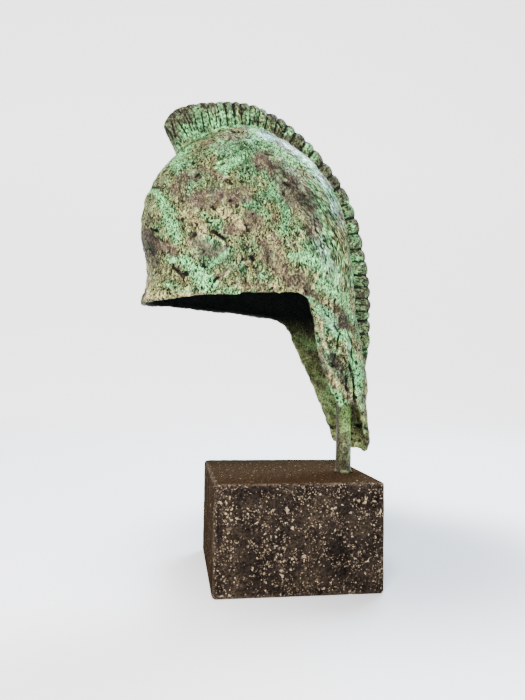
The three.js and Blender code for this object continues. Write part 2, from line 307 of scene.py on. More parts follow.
def outside_share(local, directions):
    """1 on the outside of the bowl and its neck guard, 0 on the inside."""
    middle = np.interp(local[:, 2], HOLLOW_HEIGHTS, HOLLOW_MIDDLES)
    away = np.stack([
        local[:, 0] - middle,
        local[:, 1],
        np.maximum(local[:, 2] - CROWN_CENTRE, 0),
    ], axis=1)
    away /= np.maximum(np.linalg.norm(away, axis=1, keepdims=True), 1e-6)
    return np.clip(0.5 + 2.0 * np.sum(away * directions, axis=1), 0, 1)


def ramp(values, low, high):
    """0 below low, 1 above high, and smooth between."""
    t = np.clip((values - low) / (high - low), 0, 1)
    return t * t * (3 - 2 * t)


def drifts(pixels, runs):
    """How strongly each vertex lies in soft drifts that follow short straight runs."""
    total = np.zeros(len(pixels))
    for x0, y0, x1, y1, width, strength in runs:
        run = np.array([x1 - x0, y1 - y0], dtype=float)
        offset = pixels - np.array([x0, y0])
        along = np.clip((offset @ run) / max(run @ run, 1e-6), 0, 1)
        distance = np.linalg.norm(offset - along[:, None] * run, axis=1) / width
        total = np.maximum(total, strength * (1 - ramp(distance, 0.2, 1.5)))
    return total


def wandering(pixels, local, size, amount, seed):
    """Pixels pushed about by noise, so that what is laid out on them gets loose edges."""
    push = [layered_noise(local, size, seed), layered_noise(local, size, seed + 3)]
    return pixels + amount * np.stack(push, axis=1)


def strokes(pixels, ragged, lines):
    """How deep each of several cuts is at each vertex. A cut runs from one pixel to
    another, and its width and depth fade towards its ends."""
    total = np.zeros(len(pixels))
    pixels = pixels + ragged
    for x0, y0, x1, y1, width, depth in lines:
        run = np.array([x1 - x0, y1 - y0], dtype=float)
        length = np.hypot(*run)
        run /= length
        offset = pixels - np.array([x0, y0])
        along = (offset @ run) / length
        across = np.abs(offset @ np.array([-run[1], run[0]])) / width
        fade = ramp(along, -0.08, 0.3) * (1 - ramp(along, 0.55, 1.08))
        total = np.maximum(total, depth * fade * np.exp(-across ** 2))
    return total


# Drifts of colour, of painted shade and of painted highlights on the near side of the bowl, in
# photograph pixels: from x, y to x, y, then half width and strength
GREEN_DRIFTS = [
    (186, 262, 211, 282, 7, 1.0), (166, 257, 190, 268, 4, 0.7), (152, 190, 166, 210, 6, 0.8),
    (160, 204, 176, 242, 8, 0.75), (223, 167, 240, 156, 7, 0.9), (170, 165, 186, 150, 7, 0.6),
    (206, 216, 218, 222, 5, 0.6), (252, 204, 270, 214, 5, 0.5), (272, 222, 288, 246, 5, 0.4),
    (212, 262, 228, 254, 5, 0.7), (170, 285, 240, 292, 5, 0.5), (252, 132, 300, 165, 6, 0.7),
    (300, 152, 330, 195, 5, 0.6), (284, 226, 297, 240, 5, 0.4), (296, 256, 316, 268, 6, 0.7),
    (304, 258, 322, 268, 6, 1.0), (318, 212, 345, 262, 5, 0.7), (322, 280, 345, 300, 8, 0.8),
    (330, 262, 350, 318, 6, 0.7), (296, 297, 318, 301, 3, 0.8), (320, 308, 342, 334, 6, 1.0),
    (345, 334, 354, 356, 5, 0.8), (354, 348, 364, 405, 5, 0.6), (336, 396, 343, 404, 4, 0.9),
    (333, 384, 340, 400, 3, 0.8), (352, 424, 364, 430, 4, 0.7), (208, 150, 222, 142, 5, 0.5),
    (322, 374, 338, 415, 4, 0.9), (298, 334, 314, 346, 5, 0.9), (312, 378, 330, 410, 4, 0.4),
]
BROWN_DRIFTS = [
    (175, 190, 193, 174, 9, 0.8), (204, 168, 218, 174, 8, 0.8), (194, 200, 242, 194, 12, 0.95),
    (230, 230, 256, 219, 10, 0.85), (199, 243, 220, 254, 11, 0.9), (144, 236, 172, 254, 7, 1.0),
    (262, 158, 302, 192, 12, 0.85), (286, 180, 318, 222, 12, 1.0), (268, 254, 303, 284, 11, 0.8),
    (216, 277, 227, 268, 3, 0.9), (243, 263, 257, 272, 5, 0.5), (182, 291, 198, 294, 4, 0.7),
    (300, 286, 318, 300, 7, 0.9), (302, 212, 318, 240, 6, 0.8), (320, 328, 334, 360, 4, 0.8),
    (336, 362, 350, 402, 6, 0.8), (338, 308, 350, 330, 4, 0.8), (352, 412, 366, 446, 7, 0.8),
    (200, 141, 225, 148, 5, 0.6), (322, 350, 334, 385, 5, 0.8), (240, 282, 262, 288, 6, 0.6),
    (310, 348, 326, 366, 6, 1.0), (302, 372, 322, 384, 5, 0.8), (316, 396, 326, 412, 4, 0.7),
    (300, 318, 312, 330, 6, 1.0),
]
# Tan patches; the runs along the rim and down the brow's left edge are also painted highlights on lit
# edges
TAN_AND_RIM_LIGHT_DRIFTS = [
    (184, 212, 203, 234, 7, 0.9), (222, 212, 240, 223, 6, 0.9), (141, 262, 148, 292, 4, 1.0),
    (165, 291, 200, 295, 4, 0.6), (240, 289, 300, 291, 4, 0.6), (263, 281, 277, 288, 5, 1.0),
    (190, 245, 200, 262, 5, 0.5), (314, 302, 330, 350, 2.5, 1.0), (332, 367, 345, 398, 3, 0.8),
    (268, 236, 284, 270, 6, 0.6), (186, 200, 196, 210, 5, 0.5),
]
# Painted shade: where the colour is darkened for the shading of the brow, the guard and the right side
PAINTED_SHADE_DRIFTS = [
    (143, 231, 158, 256, 6, 1.0), (146, 208, 150, 225, 4, 0.6), (294, 184, 318, 222, 8, 0.9),
    (266, 166, 300, 190, 7, 0.5), (303, 224, 318, 248, 5, 0.6), (306, 286, 318, 300, 6, 0.7),
    (334, 356, 352, 376, 6, 0.8), (338, 308, 350, 330, 5, 0.8), (352, 409, 366, 446, 8, 1.0),
    (342, 376, 352, 404, 3, 0.7), (160, 256, 182, 278, 3, 0.6), (243, 228, 254, 240, 4, 0.5),
    (225, 246, 240, 266, 4, 0.5), (154, 270, 172, 292, 4, 0.5), (175, 190, 188, 178, 5, 0.4),
    (140, 184, 143, 300, 5, 0.6), (142, 232, 152, 262, 8, 1.3), (150, 160, 141, 190, 5, 0.4),
    (228, 262, 248, 284, 5, 0.4), (310, 196, 322, 212, 5, 0.6), (330, 230, 336, 250, 3, 0.5),
]
# Dark spots in the patina; the run across the lower end of the guard's strip is a painted shadow
# beneath it
DARK_DRIFTS = [
    (150, 234, 158, 240, 3, 0.9), (146, 244, 152, 252, 3, 0.8), (300, 198, 306, 206, 3, 0.6),
    (252, 258, 254, 260, 2, 0.9), (176, 268, 181, 276, 2, 0.9), (326, 236, 327, 240, 2, 0.8),
    (148, 186, 160, 188, 2, 0.7), (352, 436, 362, 441, 3, 1.0), (334, 408, 350, 409, 3.5, 1.0),
    (334, 362, 338, 368, 2.5, 0.9), (283, 182, 290, 186, 2.5, 0.8),
]
# Where the surface is polished, in the same way: the coat lies there, and bluish-white glints are
# painted into its colour as painted highlights
GLOSS_AND_GLINTS = [
    (254, 131, 282, 141, 2.0, 1.0), (278, 139, 306, 158, 2.5, 1.0), (300, 153, 320, 174, 3.0, 1.0),
    (314, 168, 333, 200, 3.5, 1.0), (328, 190, 344, 232, 4.5, 0.9), (312, 226, 342, 292, 8, 0.6),
    (149, 174, 159, 158, 3, 1.0), (170, 147, 182, 138, 2.5, 1.0), (284, 160, 310, 196, 6, 0.4),
    (318, 304, 344, 338, 6, 0.7), (346, 336, 354, 362, 4, 0.5), (312, 200, 330, 262, 5, 0.4),
]
# Cuts and raised lips: from x, y to x, y, then half width in pixels and depth in mm
CUTS = [
    (210, 205, 220, 213, 0.8, 1.3), (212, 230, 229, 242, 1.0, 1.9), (170, 262, 180, 275, 0.9, 1.6),
    (180, 275, 189, 269, 0.8, 1.1), (201, 263, 208, 270, 0.7, 1.0), (194, 177, 201, 172, 0.8, 1.0),
    (150, 187, 161, 187, 0.9, 1.1), (212, 282, 221, 277, 0.9, 1.0), (231, 243, 231, 258, 0.8, 0.9),
    (283, 182, 291, 187, 1.2, 1.2), (250, 256, 255, 260, 1.4, 1.6), (147, 228, 158, 233, 1.6, 1.4),
    (222, 130, 245, 130, 1.0, 0.9), (240, 262, 246, 256, 0.8, 0.9), (303, 286, 309, 296, 1.0, 1.2),
    (342, 328, 335, 360, 1.2, 1.1), (335, 318, 341, 345, 1.0, 0.8), (353, 336, 354, 368, 1.3, 1.3),
    (354, 372, 357, 410, 1.6, 1.7), (352, 364, 353, 374, 1.6, 1.8), (328, 364, 336, 367, 1.5, 2.4),
    (346, 372, 349, 402, 1.1, 1.1), (337, 409, 350, 409, 1.5, 1.8), (343, 355, 349, 364, 1.2, 1.2),
    (322, 306, 333, 322, 0.9, 0.9), (357, 434, 362, 440, 2.0, 2.0), (349, 412, 351, 436, 1.2, 1.4),
    (330, 226, 336, 262, 0.9, 0.9), (322, 246, 330, 276, 0.9, 0.8), (312, 214, 322, 240, 0.8, 0.8),
]
LIPS = [
    (213, 236, 228, 246, 1.2, 0.9), (224, 279, 231, 268, 1.1, 0.9), (172, 270, 180, 279, 1.2, 0.6),
    (214, 284, 226, 279, 1.3, 0.7), (276, 294, 303, 283, 1.4, 0.9), (262, 298, 300, 297, 1.2, 0.6),
    (314, 318, 322, 340, 2.2, 1.0), (322, 338, 331, 360, 2.2, 1.1), (335, 368, 341, 406, 2.4, 1.3),
    (347, 335, 347, 360, 2.6, 1.1), (360, 345, 362, 405, 2.4, 1.0), (351, 376, 352, 404, 1.6, 0.9),
]
# Round lumps that stand out of the guard's lower end: x, y, radius in pixels, height in mm
KNOBS = [
    (341, 405, 5, 1.3), (354, 429, 5, 1.9), (362, 419, 5, 1.4), (366, 433, 5, 1.5), (347, 372, 4, 0.8),
    (357, 445, 4, 1.2), (338, 352, 5, 0.8), (359, 392, 5, 0.8), (348, 394, 4, 0.9), (331, 338, 5, 0.8),
]
# Height of the rim's edge, in mm, where tan is painted along it as wear and as a painted highlight on
# the lit edge
LIT_WORN_RIM_HEIGHT = 168.0


def knobs(pixels, rows):
    """How far round lumps at photograph pixels stand out."""
    total = np.zeros(len(pixels))
    for x, y, radius, height in rows:
        distance = np.hypot(pixels[:, 0] - x, pixels[:, 1] - y) / radius
        total = np.maximum(total, height * (1 - ramp(distance, 0.2, 1.0)))
    return total


def near_side(points, normals):
    """1 where the surface faces the place the photograph was taken from, fading to 0
    a little past the outline."""
    view = points - CAMERA_PLACE
    view /= np.linalg.norm(view, axis=1, keepdims=True)
    return ramp(-np.sum(view * normals, axis=1), -0.25, 0.0)


def arc_coordinates(local):
    """Distance from the middle of the crown's arc, v, and length along the arc, in mm."""
    u = local[:, 0] - ARC_MIDDLE_U
    z = local[:, 2] - ARC_MIDDLE_Z
    return np.stack([np.hypot(u, z), local[:, 1], np.arctan2(z, u) * ARC_RADIUS], axis=1)


def arc_share(local):
    """1 where the marks follow the crown's arc, at its back, and 0 on the flanks."""
    return ramp(local[:, 0], *ARC_U) * ramp(local[:, 2], *ARC_Z)


def streaks(local):
    """Fine brush-like marks: upright on the flanks, and following the crown's arc at
    its back."""
    upright = lumps(local, UPRIGHT_STREAKS)
    round_back = lumps(arc_coordinates(local), ARC_STREAKS)
    share = arc_share(local)
    return upright * (1 - share) + round_back * share


# Noise on the bowl: size in mm, height in mm and seed
BOWL_BROAD = [(24, 0.6, 1), (11, 0.45, 2)]
BOWL_LUMPS = [(5.5, 0.36, 3), (2.9, 0.26, 4)]
TAIL_LUMPS = [(4.2, 0.7, 36), (2.6, 0.4, 37)]
FLAKE_PLACES = [(6.5, 1.0, 34), (2.4, 0.4, 35)]
UPRIGHT_STREAKS = [((2.2, 2.4, 12.0), 1.0, 20), ((1.6, 1.8, 7.0), 0.6, 21)]
ARC_STREAKS = [((2.2, 2.4, 15.0), 1.0, 22), ((1.6, 1.8, 9.0), 0.6, 23)]
STREAK_HEIGHT = 0.3
FLAKE_HEIGHT = 0.4
PIT_DEPTH = 0.7
INSIDE_SHARE = 0.7
BOWL_SINK = 0.6
# Heights between which the guard's lower end turns rougher, in mm
TAIL = (92, 112)
# Heights between which the inside of the hollow turns black, as painted shade, in mm
HOLLOW_SHADE = (138, 166)
# What counts as the bowl's outside, and how far its cuts stray, in pixels
OUTSIDE_LIMIT = 0.6
RAGGED_PIXELS = 1.3


def bowl_relief(local, outside):
    """How far each vertex of the bowl moves out, in mm, before its cuts and lips."""
    small = lumps(local, BOWL_LUMPS)
    marks = STREAK_HEIGHT * streaks(local)
    flakes = FLAKE_HEIGHT * ramp(lumps(local, FLAKE_PLACES), 0.05, 0.22)
    pitted = -PIT_DEPTH * ramp(noise(local, 3.2, 30), 0.66, 0.9)
    depth = lumps(local, BOWL_BROAD) - BOWL_SINK
    depth += outside * (small + marks + flakes + pitted) + (1 - outside) * INSIDE_SHARE * small
    tail = 1 - ramp(local[:, 2], *TAIL)
    return depth + tail * lumps(local, TAIL_LUMPS)


def paint_bowl(mesh, local, pixels, facing, near, outside, cut):
    """Keeps what the patina needs to know at each vertex of the bowl."""
    loose = wandering(pixels, local, 9.0, 4.5, 40)
    set_attribute(mesh, "calm", 0.5 * (1 - outside))
    # Painted shade: black inside the hollow above its heights
    set_attribute(mesh, "inner_shade", (1 - outside) * ramp(local[:, 2], *HOLLOW_SHADE))
    set_attribute(mesh, "arc", arc_coordinates(local) * MM)
    set_attribute(mesh, "swirl", arc_share(local))
    set_attribute(mesh, "green", facing * drifts(loose, GREEN_DRIFTS))
    set_attribute(mesh, "brown", facing * drifts(loose, BROWN_DRIFTS))
    # Painted shade on the near side
    set_attribute(mesh, "painted_shade", near * drifts(loose, PAINTED_SHADE_DRIFTS))
    # Polish for the coat, and where painted glints go
    set_attribute(mesh, "gloss_and_glint", np.clip(outside * strokes(pixels, 0, GLOSS_AND_GLINTS), 0, 1))
    # Tan along the rim: its wear, and a painted highlight on its lit edge
    lit_worn_rim = 0.7 * outside * np.exp(-((local[:, 2] - LIT_WORN_RIM_HEIGHT) / 3.5) ** 2)
    set_attribute(mesh, "tan_and_rim_light", np.maximum(lit_worn_rim, near * drifts(loose, TAN_AND_RIM_LIGHT_DRIFTS)))
    spots = 0.9 * near * drifts(wandering(pixels, local, 3.0, 1.5, 46), DARK_DRIFTS)
    set_attribute(mesh, "dark", np.clip(spots + ramp(cut, 0.5, 1.3), 0, 1))


def make_bowl():
    piece = remeshed("helmet_casting", "helmet_bowl", BOWL_VOXEL)
    mesh = piece.data
    edges = edge_list(mesh)
    points, _ = read_points(mesh)
    points = relax(points, edges, BOWL_ROUNDS)
    write_points(mesh, points)
    points, normals = read_points(mesh)
    local = helmet_coordinates(points)
    outside = outside_share(local, helmet_directions(normals))
    pixels = photo_pixels(points)
    facing = near_side(points, normals)
    near = facing * (outside > OUTSIDE_LIMIT)

    ragged = np.stack([noise(local, 3.0, 50), noise(local, 3.0, 51)], axis=1) * RAGGED_PIXELS
    cut = near * strokes(pixels, ragged, CUTS)
    lip = near * strokes(pixels, ragged, LIPS) + facing * knobs(pixels, KNOBS)
    depth = bowl_relief(local, outside) + lip - cut
    points = inside_box(points + normals * depth[:, None])
    write_points(mesh, points)

    set_attribute(mesh, "relief", depth - spread(depth, edges, 6))
    paint_bowl(mesh, local, pixels, facing, near, outside, cut)
    dress(piece, "helmet_bowl", patina_material("bowl_patina", False))
    return piece


# Drifts of colour on the crest, in the same way as the bowl's
CREST_BROWN_DRIFTS = [
    (160, 106, 188, 98, 6, 1.3), (160, 110, 178, 138, 6, 1.1), (190, 98, 214, 100, 4, 0.9),
    (216, 102, 218, 108, 3, 0.6), (240, 106, 245, 122, 3, 0.8), (250, 110, 256, 124, 3, 0.6),
    (266, 114, 284, 126, 4, 0.8), (272, 130, 282, 136, 4, 0.8), (288, 138, 298, 146, 4, 0.9),
    (322, 164, 336, 186, 6, 1.0), (338, 186, 346, 200, 4, 0.6), (352, 216, 358, 228, 4, 0.7),
    (358, 246, 364, 256, 4, 0.6), (356, 292, 368, 300, 5, 0.7), (362, 318, 368, 330, 5, 0.5),
]
CREST_GREEN_DRIFTS = [
    (221, 106, 226, 130, 3, 1.0), (230, 104, 237, 128, 3, 1.0), (196, 112, 214, 128, 7, 0.9),
    (246, 112, 250, 126, 3, 0.6), (308, 148, 316, 156, 4, 0.9), (284, 124, 292, 132, 4, 0.7),
    (182, 126, 196, 138, 5, 0.8), (348, 202, 354, 212, 4, 0.9), (354, 232, 364, 244, 5, 1.0),
    (346, 258, 370, 264, 5, 0.9), (352, 280, 370, 286, 4, 0.7), (352, 310, 370, 320, 5, 0.7),
]
# Thin grooves between the crest's ribs, in the same way as the bowl's cuts
CREST_CUTS = [
    (170, 116, 178, 143, 0.8, 0.9), (178, 120, 190, 139, 0.9, 1.2), (185, 112, 193, 133, 0.7, 0.8),
    (193, 110, 199, 133, 0.7, 0.8), (201, 110, 205, 132, 0.7, 0.8), (207, 106, 213, 131, 0.8, 0.9),
    (160, 120, 176, 147, 1.2, 1.2), (176, 104, 183, 116, 0.7, 0.7), (190, 96, 195, 104, 0.9, 1.0),
    (215, 104, 218, 131, 0.7, 0.7), (277, 121, 284, 130, 0.8, 0.8), (352, 262, 368, 262, 0.8, 0.4),
    (352, 287, 370, 290, 0.8, 0.4), (353, 303, 371, 306, 0.8, 0.4), (355, 319, 370, 323, 0.8, 0.4),
]
# Within the first reach of the bowl the crest's foot sinks into it, and up to the
# second its sides flare, in mm
FOOT_REACH = 0.75
FILLET_REACH = 3.2
FOOT_SINK = 0.9
FILLET_FLARE = 0.75
# Noise on the crest: size in mm, height in mm and seed
CREST_BROAD = [(8, 0.45, 61)]
CREST_LUMPS = [(3.2, 0.2, 62), (1.6, 0.12, 63)]
CREST_PIT_DEPTH = 0.5
CREST_SINK = 0.3
# Where its front ends and its back, darker with painted shade, begins, in u, and its browner top, in
# mm above the bowl
CREST_FRONT = (-112, -92)
CREST_BACK = (-75, -35)
CREST_TOP = (8, 14)


def crest_foot(points, normals):
    """Joins the crest's foot to the bowl: the foot goes down into the bowl, and the
    sides flare a little above it. Gives each point's height above the bowl as well."""
    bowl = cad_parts["helmet_bowl"].data
    corners = [v.co.copy() for v in bowl.vertices]
    tree = BVHTree.FromPolygons(corners, [tuple(p.vertices) for p in bowl.polygons])
    moved = points.copy()
    heights = np.zeros(len(points))
    for i, point in enumerate(points):
        hit, normal, _, distance = tree.find_nearest(Vector(point * MM))
        distance /= MM
        heights[i] = distance
        if distance < FOOT_REACH:
            moved[i] = np.array(hit - normal * FOOT_SINK * MM) / MM
        elif distance < FILLET_REACH:
            flare = FILLET_FLARE * ((FILLET_REACH - distance) / (FILLET_REACH - FOOT_REACH)) ** 2
            moved[i] += normals[i] * flare
    return moved, heights


def paint_crest(mesh, local, pixels, near, heights, hollow):
    """Keeps what the patina needs to know at each vertex of the crest."""
    loose = wandering(pixels, local, 5.0, 2.0, 70)
    behind_front = ramp(local[:, 0], *CREST_FRONT)
    back = ramp(local[:, 0], *CREST_BACK)
    top = ramp(heights + 2.5 * noise(local, 5, 71), *CREST_TOP)
    brown = np.maximum(near * drifts(loose, CREST_BROWN_DRIFTS), 0.8 * top)
    set_attribute(mesh, "relief", hollow * (1.4 + 1.4 * behind_front))
    set_attribute(mesh, "arc", arc_coordinates(local) * MM)
    set_attribute(mesh, "green", 0.42 + 0.5 * near * drifts(loose, CREST_GREEN_DRIFTS))
    set_attribute(mesh, "brown", brown)
    # Painted shade over the whole crest, deeper at its back and where it is brown
    set_attribute(mesh, "painted_shade", 0.4 + 0.2 * back + 0.45 * brown)
    set_attribute(mesh, "calm", np.full(len(local), 0.25))
    for name in ("inner_shade", "swirl", "tan_and_rim_light", "gloss_and_glint"):
        set_attribute(mesh, name, np.zeros(len(local)))


def make_crest():
    piece = remeshed("crest_casting", "crest", CREST_VOXEL)
    mesh = piece.data
    edges = edge_list(mesh)
    points, _ = read_points(mesh)
    points = relax(points, edges, CREST_ROUNDS)
    write_points(mesh, points)
    points, normals = read_points(mesh)
    points, heights = crest_foot(points, normals)
    local = helmet_coordinates(points)
    pixels = photo_pixels(points)
    near = near_side(points, normals)

    pitted = -CREST_PIT_DEPTH * ramp(noise(local, 2.6, 64), 0.66, 0.9)
    cut = near * strokes(pixels, 0, CREST_CUTS)
    depth = lumps(local, CREST_BROAD) - CREST_SINK + lumps(local, CREST_LUMPS) + pitted - cut
    points = points + normals * depth[:, None]
    write_points(mesh, points)

    mean = np.stack([spread(points[:, k], edges, 5) for k in range(3)], axis=1)
    hollow = np.sum((points - mean) * normals, axis=1)
    paint_crest(mesh, local, pixels, near, heights, hollow)
    set_attribute(mesh, "dark", ramp(cut, 0.3, 1.0))
    dress(piece, "crest", patina_material("crest_patina", True))
    return piece


# Post

POST_SIDES = 64
POST_STEPS = 150
POST_INSET = 0.14
COLLAR_OUT = 1.1
COLLAR_HEIGHT = 1.1
# Noise on the post: size in mm, height in mm and seed
POST_LUMPS = [((3, 3, 9), 0.1, 80), (1.5, 0.05, 81)]


def post_profile():
    """Heights and radii up the rod, with a low ring of solder at the block."""
    low = post_low.z / MM
    high = post_high.z / MM
    rows = []
    for i in range(POST_STEPS + 1):
        z = low + (high - low) * i / POST_STEPS
        collar = COLLAR_OUT * math.exp(-(((z - BLOCK_TOP) / COLLAR_HEIGHT) ** 2))
        if z <= BLOCK_TOP - 0.2:
            collar = 0.0
        rows.append((z, POST_RADIUS - POST_INSET + collar))
    return rows


def make_post():
    """A round rod, a little uneven."""
    around = POST_SIDES
    steps = POST_STEPS
    vertices = []
    for z, radius in post_profile():
        for k in range(around):
            angle = 2 * math.pi * k / around
            x = POST_X + radius * math.cos(angle)
            y = POST_Y + radius * math.sin(angle)
            vertices.append((x, y, z))
    points = np.array(vertices)
    outward = points - np.array([POST_X, POST_Y, 0])
    outward[:, 2] = 0
    outward /= np.linalg.norm(outward, axis=1, keepdims=True)
    points += outward * lumps(points, POST_LUMPS)[:, None]
    faces = []
    for i in range(steps):
        below = i * around
        above = below + around
        for k in range(around):
            n = (k + 1) % around
            faces.append((below + k, below + n, above + n, above + k))
    faces.append(tuple(reversed(range(around))))
    faces.append(tuple(range(steps * around, (steps + 1) * around)))
    mesh = bpy.data.meshes.new("post_rod")
    mesh.from_pydata([tuple(p * MM) for p in points], [], faces)
    for polygon in mesh.polygons:
        polygon.use_smooth = len(polygon.vertices) == 4
    piece = bpy.data.objects.new("post_rod", mesh)
    bpy.context.collection.objects.link(piece)
    dress(piece, "post", post_material())
    return piece


# Stone block

# Chips along the block's edges: x, y, z of the middle in mm, and radius
CHIPS = [
    (-50, -50, 64, 2.6), (-20, -50, 64, 1.6), (14, -50.5, 64, 1.4), (50, -50, 64, 2.0),
    (-50, -50, 30, 1.6), (-50, -50, 0, 2.6), (50, -50, 0, 2.4), (50, 10, 64, 2.6),
    (-50, 24, 64, 3.0), (-50, 50, 64, 3.6), (50, 50, 64, 3.4), (0, 50, 64, 2.4),
    (30, -50, 0, 2.2), (-30, -50.5, 0, 2.0), (50, -50, 44, 1.8),
]
EDGE_WIDTH = 1.2
WEAR_DEPTH = 0.45
CHIP_SHARE = 0.8
BLOCK_SINK = 0.12
# Noise on the block: size in mm, height in mm and seed
EDGE_WEAR = [(7, 0.5, 90), (3, 0.3, 91)]
BLOCK_ROUGHNESS = [(4, 0.1, 93), (2.4, 0.08, 94)]


def chip_depth(points):
    """How deep each point of the block is chipped, in mm."""
    chip = np.zeros(len(points))
    for x, y, z, radius in CHIPS:
        distance = np.linalg.norm(points - np.array([x, y, z]), axis=1)
        ragged = distance * (1 + 0.18 * noise(points, 3.5, 92))
        chip = np.maximum(chip, np.clip(radius - ragged, 0, None) * CHIP_SHARE)
    return chip


def make_block():
    piece = remeshed("worn_block", "stone_block", BLOCK_VOXEL)
    mesh = piece.data
    edges = edge_list(mesh)
    points, _ = read_points(mesh)
    points = relax(points, edges, BLOCK_ROUNDS)
    write_points(mesh, points)
    points, normals = read_points(mesh)
    low, high = (np.array(c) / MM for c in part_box("stone_block"))
    inset = np.sort(np.minimum(points - low, high - points), axis=1)
    edge = np.exp(-((inset[:, 0] + inset[:, 1]) / EDGE_WIDTH) ** 2)
    wear = edge * (0.5 + lumps(points, EDGE_WEAR))
    chip = chip_depth(points)
    on_foot = ramp(points[:, 2], 0.5, 3.0)
    centre = (low + high) / 2
    inward = centre - points
    inward /= np.linalg.norm(inward, axis=1, keepdims=True)
    rough = lumps(points, BLOCK_ROUGHNESS) - BLOCK_SINK
    points = points + inward * (chip + WEAR_DEPTH * np.clip(wear, 0, None))[:, None]
    points = points + normals * (rough * on_foot)[:, None]
    points = inside_box(points)
    write_points(mesh, points)
    pale = 1.1 * edge * (0.7 + 0.5 * noise(points, 5, 95)) + 0.5 * chip
    set_attribute(mesh, "wear", np.clip(pale, 0, 1))
    dress(piece, "stone_block", stone_material())
    return piece


# Materials

class Nodes:
    """Short calls that add and join shader nodes."""

    def __init__(self, name):
        self.material = bpy.data.materials.new(name)
        self.material.use_nodes = True
        self.tree = self.material.node_tree
        self.tree.nodes.clear()
        self.shader = self.tree.nodes.new("ShaderNodeBsdfPrincipled")
        output = self.tree.nodes.new("ShaderNodeOutputMaterial")
        self.join(self.shader.outputs["BSDF"], output.inputs["Surface"])
        coordinates = self.tree.nodes.new("ShaderNodeTexCoord")
        self.place = coordinates.outputs["Object"]

    def join(self, source, target):
        self.tree.links.new(source, target)

    def put(self, value, target):
        """Sets a socket from a number, a colour or another socket."""
        if isinstance(value, bpy.types.NodeSocket):
            self.join(value, target)
        else:
            target.default_value = value

    def noise(self, size, detail, roughness, stretch=(1, 1, 1), distortion=0.0, place=None):
        """Noise whose lumps are about size millimetres across."""
        mapping = self.tree.nodes.new("ShaderNodeMapping")
        mapping.inputs["Scale"].default_value = stretch
        self.join(place or self.place, mapping.inputs["Vector"])
        node = self.tree.nodes.new("ShaderNodeTexNoise")
        self.join(mapping.outputs["Vector"], node.inputs["Vector"])
        node.inputs["Scale"].default_value = 1 / (size * MM)
        node.inputs["Detail"].default_value = detail
        node.inputs["Roughness"].default_value = roughness
        node.inputs["Distortion"].default_value = distortion
        return node.outputs["Fac"]

    def warped(self, size, amount):
        """The object's coordinates, pushed about by noise, by about amount millimetres."""
        push = self.tree.nodes.new("ShaderNodeTexNoise")
        self.join(self.place, push.inputs["Vector"])
        push.inputs["Scale"].default_value = 1 / (size * MM)
        push.inputs["Detail"].default_value = 2.0
        centred = self.tree.nodes.new("ShaderNodeVectorMath")
        centred.operation = "SUBTRACT"
        self.join(push.outputs["Color"], centred.inputs[0])
        centred.inputs[1].default_value = (0.5, 0.5, 0.5)
        moved = self.tree.nodes.new("ShaderNodeVectorMath")
        moved.operation = "MULTIPLY_ADD"
        self.join(centred.outputs[0], moved.inputs[0])
        moved.inputs[1].default_value = (amount * 4 * MM,) * 3
        self.join(self.place, moved.inputs[2])
        return moved.outputs[0]

    def grains(self, size, place):
        """Angular grains about size millimetres across: the distance in from their
        edges, and two random numbers for each."""
        nodes = []
        for feature in ("F1", "DISTANCE_TO_EDGE"):
            node = self.tree.nodes.new("ShaderNodeTexVoronoi")
            node.feature = feature
            self.join(place, node.inputs["Vector"])
            node.inputs["Scale"].default_value = 1 / (size * MM)
            nodes.append(node)
        parts = self.tree.nodes.new("ShaderNodeSeparateColor")
        self.join(nodes[0].outputs["Color"], parts.inputs[0])
        return nodes[1].outputs["Distance"], parts.outputs[0], parts.outputs[1]

    def away_from(self, point):
        """Distance from a point given in metres."""
        node = self.tree.nodes.new("ShaderNodeVectorMath")
        node.operation = "DISTANCE"
        self.join(self.place, node.inputs[0])
        node.inputs[1].default_value = point
        return node.outputs["Value"]

    def part(self, vector, axis):
        """The X, Y or Z part of a vector."""
        node = self.tree.nodes.new("ShaderNodeSeparateXYZ")
        self.join(vector, node.inputs[0])
        return node.outputs[axis]

    def blend(self, share, a, b):
        """A number between two others."""
        return self.math("MULTIPLY_ADD", share, self.math("SUBTRACT", b, a), a)

    def lines(self, value, middle, width):
        """Thin lines where a value passes its middle: 1 on them and 0 beside them."""
        away = self.math("ABSOLUTE", self.math("SUBTRACT", value, middle))
        return self.range(away, 0, width, 1, 0)

    def attribute(self, name, output="Fac"):
        node = self.tree.nodes.new("ShaderNodeAttribute")
        node.attribute_name = name
        return node.outputs[output]

    def math(self, operation, a, b=0.0, c=None):
        node = self.tree.nodes.new("ShaderNodeMath")
        node.operation = operation
        self.put(a, node.inputs[0])
        self.put(b, node.inputs[1])
        if c is not None:
            self.put(c, node.inputs[2])
        return node.outputs[0]

    def range(self, value, low, high, to_low=0.0, to_high=1.0):
        node = self.tree.nodes.new("ShaderNodeMapRange")
        node.interpolation_type = "SMOOTHSTEP"
        self.put(value, node.inputs["Value"])
        node.inputs["From Min"].default_value = low
        node.inputs["From Max"].default_value = high
        node.inputs["To Min"].default_value = to_low
        node.inputs["To Max"].default_value = to_high
        return node.outputs["Result"]

    def mix(self, share, a, b, blend="MIX"):
        node = self.tree.nodes.new("ShaderNodeMix")
        node.data_type = "RGBA"
        node.blend_type = blend
        self.put(share, node.inputs["Factor"])
        self.put(a, node.inputs["A"])
        self.put(b, node.inputs["B"])
        return node.outputs["Result"]

    def colours(self, value, stops):
        node = self.tree.nodes.new("ShaderNodeValToRGB")
        self.put(value, node.inputs["Fac"])
        elements = node.color_ramp.elements
        while len(elements) < len(stops):
            elements.new(0.5)
        for element, (place, colour) in zip(elements, stops):
            element.position = place
            element.color = colour
        return node.outputs["Color"]

